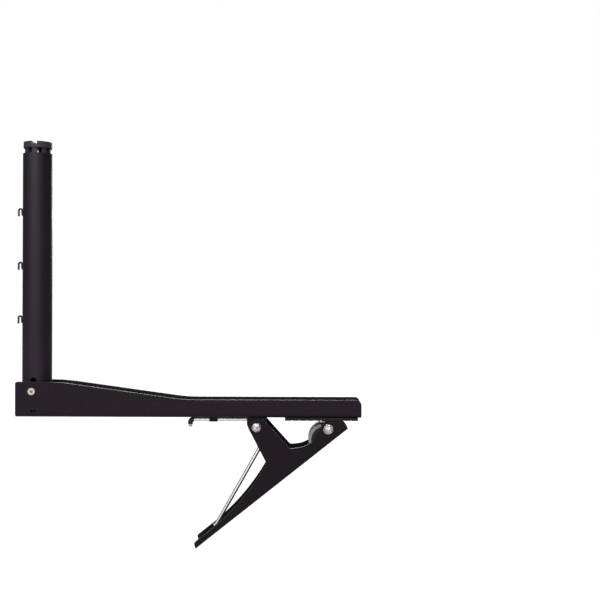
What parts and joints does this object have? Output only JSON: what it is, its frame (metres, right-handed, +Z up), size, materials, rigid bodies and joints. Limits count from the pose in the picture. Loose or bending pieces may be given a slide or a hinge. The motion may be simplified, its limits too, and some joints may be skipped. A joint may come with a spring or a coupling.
{
  "type": "table tennis net clamp",
  "caption": "Sprung clamp that grips a table's edge and holds an upright net post, with a lever handle, a swivelling shoe, net hooks and a cap for the net's top cord.",
  "frame": {"origin": "on the underside of the upper pad, at its outer end, midway across: the table top's upper edge", "axes": "+X over the table towards the net's middle, +Y along the table's edge, +Z up the post"},
  "size_m": [0.1922, 0.0218, 0.2249],
  "materials": {
    "arm_coat": "satin black powder coat",
    "lever_coat": "satin black powder coat",
    "bracket_coat": "satin black powder coat",
    "post_coat": "satin black powder coat",
    "post_rivet_metal": "plated, dull",
    "cap_plastic": "dark grey-green, fine texture",
    "hook_wire": "blackened",
    "pad_rubber": "matte",
    "bracket_rivet_steel": "plain",
    "sleeve_steel": "zinc plated",
    "pin_steel": "polished, lightly hammered",
    "shoe_plastic": "black",
    "tread_rubber": "grey, matte",
    "spring_steel": "bright drawn wire",
    "end_sleeve_plastic": "black"
  },
  "bodies": {
    "arm": {"arm_channel": "arm_coat", "post_tube": "post_coat", "post_rivet": "post_rivet_metal", "net_hook_top": "hook_wire", "net_hook_middle": "hook_wire", "net_hook_bottom": "hook_wire", "upper_pad": "pad_rubber", "hinge_bracket": "bracket_coat", "bracket_rivet_outer": "bracket_rivet_steel", "bracket_rivet_inner": "bracket_rivet_steel", "hinge_sleeve": "sleeve_steel", "torsion_spring": "spring_steel", "spring_end_sleeve": "end_sleeve_plastic", "spring_keeper": "bracket_coat"},
    "lever": {"lever": "lever_coat", "hinge_pin": "pin_steel", "jaw_pin": "pin_steel"},
    "shoe": {"jaw_shoe": "shoe_plastic", "shoe_tread": "tread_rubber"},
    "cap": {"post_cap": "cap_plastic"}
  },
  "joints": [
    {"name": "lever_hinge", "type": "hinge", "parent": "arm", "child": "lever", "pos_m": [-0.0157, 0, -0.0038], "axis": [0, 1, 0], "range_deg": [0, 45], "stiffness_Nm_per_rad": 1.9, "springref_deg": -17.19, "deforming": ["torsion_spring"]},
    {"name": "jaw_shoe_swivel", "type": "hinge", "parent": "lever", "child": "shoe", "pos_m": [0.0239, 0, -0.0046], "axis": [0, 1, 0], "range_deg": [-14, 14]},
    {"name": "cap_slide", "type": "slide", "parent": "arm", "child": "cap", "axis": [0, 0, 1], "range_m": [-0.0029, 0.006]}
  ]
}
